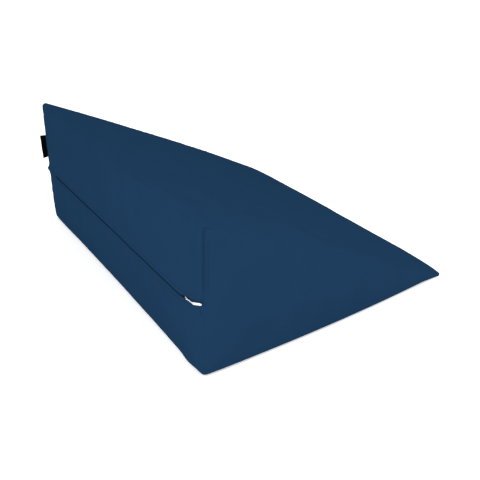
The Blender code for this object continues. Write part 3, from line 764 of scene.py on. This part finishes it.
def seam_shade(points, fields):
    """How much painted shade darkens the cover along its seams: most up the back seam's upper half, with the crease
    beside its roll.
    """
    arc, y, z = fields[:, 0], points[:, 1], points[:, 2]
    upper = smooth_step((z - DEEP_SEAM_FROM) / DEEP_SEAM_FADE) * fade((y + DEPTH / 2 - SHADE_DEPTH) / SHADE_FADE)
    seam = np.exp(-arc / SHADE_REACH) * (SHADE_ALL_ROUND + SHADE_UPPER * upper)
    crease = hump(arc - CREASE_PLACE, CREASE_HALF) * upper * fade((z - WELT_TO) / WELT_TO_FADE)
    return seam + np.where(fields[:, 2] >= LEFT_PANEL, SHADE_CREASE * crease, 0.0)


def cover_piece():
    """The filled cover with its seams, gathers, and the placket's groove."""
    plain, faces, fields = cover_grid()
    points = fill_out(plain)
    order = np.round(points / SAME_POINT).astype(np.int64)
    same = np.unique(order, axis=0, return_inverse=True)[1].ravel()

    def pooled(values):
        total = np.zeros((same.max() + 1, *values.shape[1:]))
        np.add.at(total, same, values)
        return total[same]

    # Doubled border points share one normal, and one height.
    normals = unit(pooled(vertex_normals(points, np.array(faces))))
    centre = np.array([0.0, -0.05, 0.08])
    flip = np.median(np.sign((normals * (points - centre)).sum(axis=1)))
    height = relief(points, fields)
    height += pressed_out(points, faces, fields)
    height = pooled(height) / pooled(np.ones(len(height)))
    points = points + flip * height[:, None] * normals
    points[:, 1] += fields[:, 3]
    # The seams' painted shade goes with the mesh as a point attribute.
    return mesh_from("cover", points, faces, merge=SAME_POINT, seam=seam_shade(points, fields))


def node_tree(name):
    """A new material, its nodes and its shader."""
    made = bpy.data.materials.new(name)
    made.use_nodes = True
    return made, made.node_tree, made.node_tree.nodes["Principled BSDF"]


def feed(node, inputs):
    """Sets each of the named inputs to its value, or links it to its socket."""
    for name, value in inputs.items():
        if isinstance(value, (int, float, tuple)):
            node.inputs[name].default_value = value
        else:
            node.id_data.links.new(value, node.inputs[name])


def object_place(tree):
    """The socket of the place on the object."""
    return tree.nodes.new("ShaderNodeTexCoord").outputs["Object"]


def noise(tree, where, scale, detail):
    """The socket of a noise over the object."""
    node = tree.nodes.new("ShaderNodeTexNoise")
    feed(node, {"Vector": where, "Scale": scale, "Detail": detail})
    return node.outputs["Fac"]


def bumped(tree, height, strength, distance, **under):
    """The socket of the normals that a height gives, over the Normal of a bump under it."""
    node = tree.nodes.new("ShaderNodeBump")
    feed(node, {"Height": height, "Strength": strength, "Distance": distance, **under})
    return node.outputs["Normal"]


def sum_of(tree, *terms):
    """The sum of numbers and of sockets, each socket given with its factor."""
    total = None
    for term in terms:
        if isinstance(term, tuple):
            term = math_node(tree, "MULTIPLY", *term)
        total = term if total is None else math_node(tree, "ADD", total, term)
    return total


def math_node(tree, operation, first, second):
    """The result of a sum or product of two values or sockets."""
    node = tree.nodes.new("ShaderNodeMath")
    node.operation = operation
    feed(node, {0: first, 1: second})
    return node.outputs[0]


def mix_colour(tree, factor, first, second):
    """The mix of two colours by a factor, each a value or a socket."""
    node = tree.nodes.new("ShaderNodeMix")
    node.data_type = "RGBA"
    low, high = [index for index, socket in enumerate(node.inputs) if socket.type == "RGBA"]
    feed(node, {0: factor, low: first, high: second})
    return next(socket for socket in node.outputs if socket.type == "RGBA")


def cover_material():
    """Coated cloth: a fine pebbled skin over a knit, matte, with slight variation of colour and gloss, and painted
    shade along its seams.
    """
    made, tree, shader = node_tree("cover_fabric")
    where = object_place(tree)
    node = tree.nodes.new("ShaderNodeTexVoronoi")
    node.feature = "SMOOTH_F1"
    feed(node, {"Vector": where, "Scale": 950.0})
    pebble = node.outputs["Distance"]
    fine = noise(tree, where, 2600.0, 1.0)
    slow = noise(tree, where, 24.0, 3.0)
    middle = noise(tree, where, 140.0, 2.0)
    # The seams' painted shade, carried by the mesh as a point attribute.
    seam = tree.nodes.new("ShaderNodeAttribute")
    seam.attribute_name = "seam"

    colour = mix_colour(tree, sum_of(tree, (slow, 0.7), (middle, 0.3)), COVER_DEEP, COVER_PALE)
    skin = sum_of(tree, (pebble, 0.8), (fine, 0.25))
    feed(shader, {
        "Base Color": mix_colour(tree, sum_of(tree, (seam.outputs["Fac"], 0.28)), colour, SEAM_SHADE_COLOUR),
        "Roughness": sum_of(tree, 0.62, (pebble, 0.18), (slow, 0.08)),
        "Specular IOR Level": 0.0,
        "Normal": bumped(tree, skin, 0.35, 0.00012, Normal=bumped(tree, middle, 0.30, 0.0005)),
    })
    return made


def simple_material(
    name, colour, roughness, metallic=0.0, specular=0.5, grain=900.0, bump_distance=0.00004, variation=0.15
):
    """Noise-varied colour and roughness over a fine bump."""
    made, tree, shader = node_tree(name)
    speckle = noise(tree, object_place(tree), grain, 3.0)
    low, high = ((*(min(1.0, c * part) for c in colour), 1.0) for part in (1.0 - variation, 1.0 + variation))
    feed(shader, {
        "Base Color": mix_colour(tree, speckle, low, high),
        "Roughness": sum_of(tree, roughness - 0.08, (speckle, 0.16)),
        "Metallic": metallic,
        "Specular IOR Level": specular,
        "Normal": bumped(tree, speckle, 0.4, bump_distance),
    })
    return made


def tube(points, radius, sides=6):
    """Points and faces of a round tube along a line, closed by a flat end at each end."""
    line = np.asarray(points, float)
    count = len(line)
    ahead = unit(np.gradient(line, axis=0))
    side = unit(np.cross(ahead, [0.13, 0.31, 0.94]))
    up = np.cross(side, ahead)
    turn = np.linspace(0.0, 2.0 * math.pi, sides, endpoint=False)[:, None]
    rings = [line[i] + radius * (np.cos(turn) * side[i] + np.sin(turn) * up[i]) for i in range(count)]
    faces = grid_faces(count, sides, around=True)
    faces += [tuple(range(sides)), tuple(range((count - 1) * sides, count * sides))]
    return np.concatenate(rings), faces


def joined(parts):
    """Several point and face lists as one."""
    points, faces, offset = [], [], 0
    for p, f in parts:
        points.append(p)
        faces += [tuple(i + offset for i in face) for face in f]
        offset += len(p)
    return np.concatenate(points), faces


def on_cover(tree, x, z):
    """Place and outward normal of the cover's back at that width and height."""
    place, normal, _, _ = tree.ray_cast(Vector((x, -0.4, z)), Vector((0.0, 1.0, 0.0)))
    return np.array(place), np.array(normal) * (-1.0 if normal.y > 0 else 1.0)


def flap_stitches(tree):
    """Two rows of thread, above and below the zip, each stitch lying in its dent and diving in at both ends."""
    parts = []
    for side in (-1.0, 1.0):
        for x in np.arange(STITCH_FROM, STITCH_TO, STITCH_PITCH):
            start = x + (0.0 if side > 0 else 0.5 * STITCH_PITCH)
            line = []
            for share in (0.0, 0.12, 0.35, 0.65, 0.88, 1.0):
                here = start + share * STITCH_LENGTH
                place, normal = on_cover(tree, here, zip_height(here) + side * STITCH_ROW)
                lift = THREAD_RADIUS * (2.0 * math.sin(math.pi * share) ** 0.5 - 1.5)
                line.append(place + lift * normal)
            parts.append(tube(line, THREAD_RADIUS))
    return mesh_from("flap_stitches", *joined(parts))


def zip_coil():
    """The closed chain: the two tapes' coil turns, hooked into each other along the middle, over the tapes' edges."""
    stop = SLIDER_X - SLIDER_LENGTH / 2 - SLIDER_END_PLAY
    parts = []
    for index, x in enumerate(np.arange(CHAIN_LEFT + 0.0006, stop, COIL_PITCH / 2)):
        z = zip_height(x)
        y = float(back_y(x, z)) + COIL_DEPTH
        side = 1.0 if index % 2 else -1.0
        line = []
        for share in np.linspace(0.0, 1.0, 6):
            across = side * (-0.30 + 1.12 * share) * COIL_HALF
            bow = COIL_RISE * math.sin(math.pi * share)
            line.append((x + 0.25 * COIL_PITCH * (share - 0.5), y - bow, z + across))
        parts.append(tube(line, COIL_WIRE))
    xs = np.linspace(CHAIN_LEFT, stop, 90)
    behind = back_y(xs, zip_height(xs)) + COIL_DEPTH + TAPE_EDGE_BEHIND
    for side in (-1.0, 1.0):
        line = np.column_stack([xs, behind, zip_height(xs) + side * TAPE_EDGE_OFF])
        parts.append(tube(line, TAPE_EDGE_RADIUS, sides=8))
    return mesh_from("zip_coil", *joined(parts))


def flat_shape(name, outlines, thickness, bevel):
    """A plate with rounded edges: closed outlines in X and Z, the later ones holes, facing along Y."""
    curve = bpy.data.curves.new(name, "CURVE")
    curve.dimensions = "2D"
    curve.fill_mode = "BOTH"
    curve.extrude = max(thickness / 2 - bevel, 0.0)
    curve.bevel_depth = bevel
    curve.bevel_resolution = 3
    curve.offset = -bevel
    for outline in outlines:
        spline = curve.splines.new("POLY")
        spline.points.add(len(outline) - 1)
        for point, (x, z) in zip(spline.points, outline):
            point.co = (x, z, 0.0, 1.0)
        spline.use_cyclic_u = True
    holder = placed(name, curve)
    mesh = bpy.data.meshes.new_from_object(evaluated(holder))
    bpy.data.objects.remove(holder)
    mesh.transform(Matrix.Rotation(math.radians(90.0), 4, "X"))
    made = smoothed(name, mesh, SAME_POINT)
    mesh.set_sharp_from_angle(angle=math.radians(38.0))
    return made


def rounded(points, times=3):
    """A closed outline with its corners cut smooth."""
    line = np.asarray(points, float)
    for _ in range(times):
        ahead = np.roll(line, -1, axis=0)
        line = np.stack([0.75 * line + 0.25 * ahead, 0.25 * line + 0.75 * ahead], axis=1).reshape(-1, 2)
    return [tuple(p) for p in line]


def mirrored(outline):
    """An outline given along its lower edge, in X and Z, completed by its mirror image above the X axis."""
    return outline + [(x, -z) for x, z in outline[::-1]]


def slider_tilt():
    """Slope of the zip's line at the slider, as an angle."""
    step = 0.002
    return math.atan2(zip_height(SLIDER_X + step) - zip_height(SLIDER_X - step), 2 * step)


def slider_pieces():
    """The slider's waisted body in its pocket, and the bridge over it that holds the pull."""
    half, width = SLIDER_LENGTH / 2, SLIDER_WIDTH / 2
    edge = [(-half, -0.55 * width), (-0.80 * half, -0.95 * width), (-0.1 * half, -0.86 * width), (0.45 * half, -width)]
    body = flat_shape("zip_slider_body", [rounded(mirrored(edge + [(half, -0.62 * width)]))], SLIDER_DEPTH, 0.00045)
    z = zip_height(SLIDER_X)
    front = float(back_y(SLIDER_X, z)) + SLIDER_SINK
    turn = Matrix.Rotation(-slider_tilt(), 4, "Y")
    place = Matrix.Translation((SLIDER_X, front, z)) @ turn
    body.data.transform(place @ Matrix.Translation((0.0, SLIDER_DEPTH / 2, 0.0)))
    span, top = BRIDGE_SPAN / 2 - BRIDGE_WIRE / 2, BRIDGE_CLEAR + BRIDGE_WIRE / 2
    arch = [(-span, 0.0007), (-span, -0.0012)]
    for a in np.linspace(0.2, math.pi - 0.2, 13):
        arch.append((-span * math.cos(a), -0.0016 - (top - 0.0016) * math.sin(a) ** 0.7))
    arch += [(span, -0.0012), (span, 0.0007)]
    bridge = mesh_from("zip_slider_bridge", *tube([(x, y, 0.0) for x, y in arch], BRIDGE_WIRE / 2, sides=12))
    bridge.data.transform(place)
    return body, bridge


def pull_line(distance):
    """Place and direction of the pull's middle line: a straight neck, then a paddle that turns up a little."""
    steps = np.linspace(0.0, distance, 61)
    turn = PULL_BEND * smooth_step((steps - PULL_BEND_START) / PULL_BEND_LENGTH)
    moved = np.diff(steps)
    middle = (turn[1:] + turn[:-1]) / 2
    return float((np.cos(middle) * moved).sum()), float((np.sin(middle) * moved).sum()), float(turn[-1])


def pull_outline():
    """Lower edge of the pull from its eye to its tip, then the upper edge back, in X and Z."""
    eye, neck, paddle = EYE_HOLE / 2 + EYE_WALL, PULL_NECK_WIDTH / 2, PULL_PADDLE_WIDTH / 2
    stations = [(-eye, eye * 0.5), (-eye * 0.8, eye * 0.9), (0.0, eye * 1.06)]
    stations += [(eye * 0.8, eye * 0.9), (eye * 1.6, neck)]
    stations += [(PULL_BEND_START * share, neck) for share in (0.3, 0.6, 0.9)]
    widths = (neck * 1.25, paddle * 0.94, paddle * 1.02, paddle * 1.01, paddle * 0.98)
    for share, half in zip((0.25, 0.60, 1.0, 1.8, 2.6), widths):
        stations.append((PULL_BEND_START + PULL_BEND_LENGTH * share, half))
    for angle in np.radians([0.0, 25.0, 45.0, 62.0, 78.0]):
        stations.append((PULL_LENGTH - paddle * (1.3 - 1.3 * math.sin(angle)), paddle * 0.96 * math.cos(angle)))
    lower, upper = [], []
    for distance, half in stations:
        x, z, turn = pull_line(distance)
        lower.append((x + half * math.sin(turn), z - half * math.cos(turn)))
        upper.append((x - half * math.sin(turn), z + half * math.cos(turn)))
    return lower + upper[::-1]


def pull_depth(x):
    """How far the pull stands out at that distance from its eye: out along the neck, and back in along the paddle."""
    turn = PULL_BEND_START + PULL_BEND_LENGTH / 2
    bent = 0.5 * (x + turn - math.sqrt((x - turn) ** 2 + PULL_KINK_ROUND**2))
    return max(bent, 0.0) * math.tan(PULL_LEAN_OUT) - max(x - bent, 0.0) * math.tan(PULL_LEAN_IN)


def pull_piece():
    """The pull: an eye round the bridge's leg, a slim neck and a paddle with a rounded end."""
    turn = np.linspace(0.0, 2.0 * math.pi, 24, endpoint=False)
    hole = [(EYE_HOLE / 2 * math.cos(a), EYE_HOLE / 2 * math.sin(a)) for a in -turn]
    made = flat_shape("pull", [rounded(pull_outline()), hole], PULL_THICKNESS, 0.00035)
    leg = BRIDGE_SPAN / 2 - BRIDGE_WIRE / 2
    z = zip_height(SLIDER_X)
    y = float(back_y(SLIDER_X, z)) - PULL_CLEAR - PULL_THICKNESS / 2
    place = Matrix.Translation((SLIDER_X + leg * math.cos(slider_tilt()), y, z + leg * math.sin(slider_tilt())))
    for vertex in made.data.vertices:
        vertex.co.y -= pull_depth(vertex.co.x)
    made.data.transform(place @ Matrix.Rotation(-PULL_TILT, 4, "Y"))
    return made


def label_root(z):
    """Where the label starts, just outside the left back seam at that height."""
    angle = math.pi / 4
    x = -WIDTH / 2 + SEAM_RADIUS * (1 - math.sin(angle))
    y = -DEPTH / 2 + BACK_LEAN * z / HEIGHT + SEAM_RADIUS * (1 - math.cos(angle))
    seam = fill_out(np.array([[x, y, z]]))[0, :2]
    return seam + LABEL_CLEAR * np.array([-math.cos(angle), -math.sin(angle)])


def label_path(level):
    """Centreline of the tape at one height: out along one layer, round the fold and back, with its normals."""
    seam_angle, final = math.radians(228.0), math.radians(LABEL_ANGLE - LABEL_TWIST * level)
    steps = np.linspace(0.0, LABEL_REACH - LABEL_FOLD, 22)
    angles = seam_angle + (final - seam_angle) * smooth_step(steps / LABEL_BEND)
    along = np.stack([np.cos(angles), np.sin(angles)], axis=1)
    middle = np.concatenate([[[0.0, 0.0]], np.cumsum((along[1:] + along[:-1]) / 2 * np.diff(steps)[:, None], axis=0)])
    across = np.stack([-along[:, 1], along[:, 0]], axis=1)
    apart = (LABEL_LAYER + LABEL_FOLD * 1.4 * smooth_step(steps / (LABEL_REACH * 0.9)))[:, None] / 2
    turns = np.radians(np.linspace(75.0, -75.0, 9))
    wide = float(apart[-1, 0])
    fold = np.sin(turns)[:, None] * across[-1] + np.cos(turns)[:, None] * along[-1]
    path = [middle + apart * across, middle[-1] + wide * fold, (middle - apart * across)[::-1]]
    return np.concatenate(path), np.concatenate([across, fold, -across[::-1]])


def label_piece():
    """The folded label: one thin woven tape, leaving the left back seam, folded over and bent back."""
    rings = []
    for level in np.linspace(0.5, -0.5, LABEL_ROWS):
        z = LABEL_MIDDLE_Z + level * LABEL_HEIGHT
        path, normals = label_path(level)
        run = np.linspace(0.0, 1.0, len(path))
        wave = 0.00012 * np.sin(2 * math.pi * (level * 2.2 + run * 0.8)) * np.sin(math.pi * run)
        place = label_root(z) + path + wave[:, None] * normals
        heights = np.full(len(path), z) + 0.00025 * np.sin(math.pi * run) * math.sin(2 * math.pi * level)
        outer = np.column_stack([place + LABEL_LAYER / 2 * normals, heights])
        inner = np.column_stack([place - LABEL_LAYER / 2 * normals, heights])
        rings += [outer, inner[::-1]]
    # Each level is a ring, out along the tape's outer side and back along its inner side.
    columns = 2 * len(rings[0])
    faces = grid_faces(LABEL_ROWS, columns, around=True)
    for start in (0, (LABEL_ROWS - 1) * columns):
        for j in range(columns // 2 - 1):
            faces.append((start + j, start + j + 1, start + columns - 2 - j, start + columns - 1 - j))
    made = mesh_from("label_tape", np.concatenate(rings), faces)
    made.data.set_sharp_from_angle(angle=math.radians(60.0))
    return made


def soft_lamp(name, place, energy):
    """A broad round lamp at that place, turned to the cushion's middle."""
    light = bpy.data.lights.new(name, "AREA")
    light.shape = "DISK"
    light.size = LAMP_SIZE
    light.energy = energy
    lamp = placed(name, light)
    lamp.location = place
    lamp.rotation_mode = "QUATERNION"
    lamp.rotation_quaternion = (Vector(place) - Vector((0.0, 0.0, HEIGHT / 2))).to_track_quat("Z", "Y")
    lamp.visible_camera = False


def floor_and_light():
    """A wide pale floor, an even sky, and two broad soft lamps, high over the right end and low before the back."""
    bpy.ops.mesh.primitive_plane_add(size=16.0, location=(0.0, 0.0, -0.0004))
    floor = bpy.context.object
    floor.name = "floor"
    made, _, shader = node_tree("studio_floor")
    feed(shader, {
        "Base Color": (0.90, 0.90, 0.90, 1.0),
        "Roughness": 0.9,
        "Specular IOR Level": 0.1,
        "Emission Color": (1.0, 1.0, 1.0, 1.0),
        "Emission Strength": FLOOR_GLOW,
    })
    floor.data.materials.append(made)

    world = bpy.context.scene.world = bpy.data.worlds.new("studio")
    world.use_nodes = True
    feed(world.node_tree.nodes["Background"], {"Color": (1.0, 1.0, 1.0, 1.0), "Strength": SKY_STRENGTH})

    soft_lamp("lamp_end", *LAMP_END)
    soft_lamp("lamp_low", *LAMP_LOW)


def camera():
    """The camera, at the photo's angle."""
    right, down = Vector(CAMERA_RIGHT), Vector(CAMERA_DOWN)
    axes = Matrix((right, -down, right.cross(-down))).transposed()
    data = bpy.data.cameras.new("camera")
    data.sensor_width = 36.0
    data.lens = CAMERA_LENS
    data.clip_start = 0.01
    made = placed("camera", data)
    made.matrix_world = Matrix.Translation(CAMERA_PLACE) @ axes.to_4x4()
    bpy.context.scene.camera = made


camera()
floor_and_light()
bpy.context.scene.view_settings.view_transform = "Standard"

cover = cover_piece()
cover.data.materials.append(cover_material())
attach(cover, "root")
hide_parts("cushion")

surface = BVHTree.FromObject(cover, bpy.context.evaluated_depsgraph_get())
metal = simple_material("nickel", NICKEL, 0.26, metallic=1.0, grain=700.0, bump_distance=0.00002, variation=0.05)
enamel = simple_material("slider_enamel", ENAMEL, 0.45, specular=0.15)
nylon = simple_material("zip_nylon", NYLON, 0.50, specular=0.10)
thread = simple_material("thread", THREAD, 0.70, specular=0.01)
black = simple_material("label_weave", LABEL_BLACK, 0.80, specular=0.02)

stitches = flap_stitches(surface)
coil = zip_coil()
body, bridge = slider_pieces()
pull = pull_piece()
tape = label_piece()
for piece, finish, slot, node in (
    (stitches, thread, "cover", None),
    (coil, nylon, "zip_tape", "zip_chain"),
    (body, enamel, "slider_enamel", "zip_slider"),
    (bridge, enamel, "slider_enamel", "zip_slider"),
    (pull, metal, "metal", "zip_pull"),
    (tape, black, "label_tape", "label"),
):
    piece.data.materials.clear()
    piece.data.materials.append(finish)
    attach(piece, "root")
    if node:
        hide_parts(node)
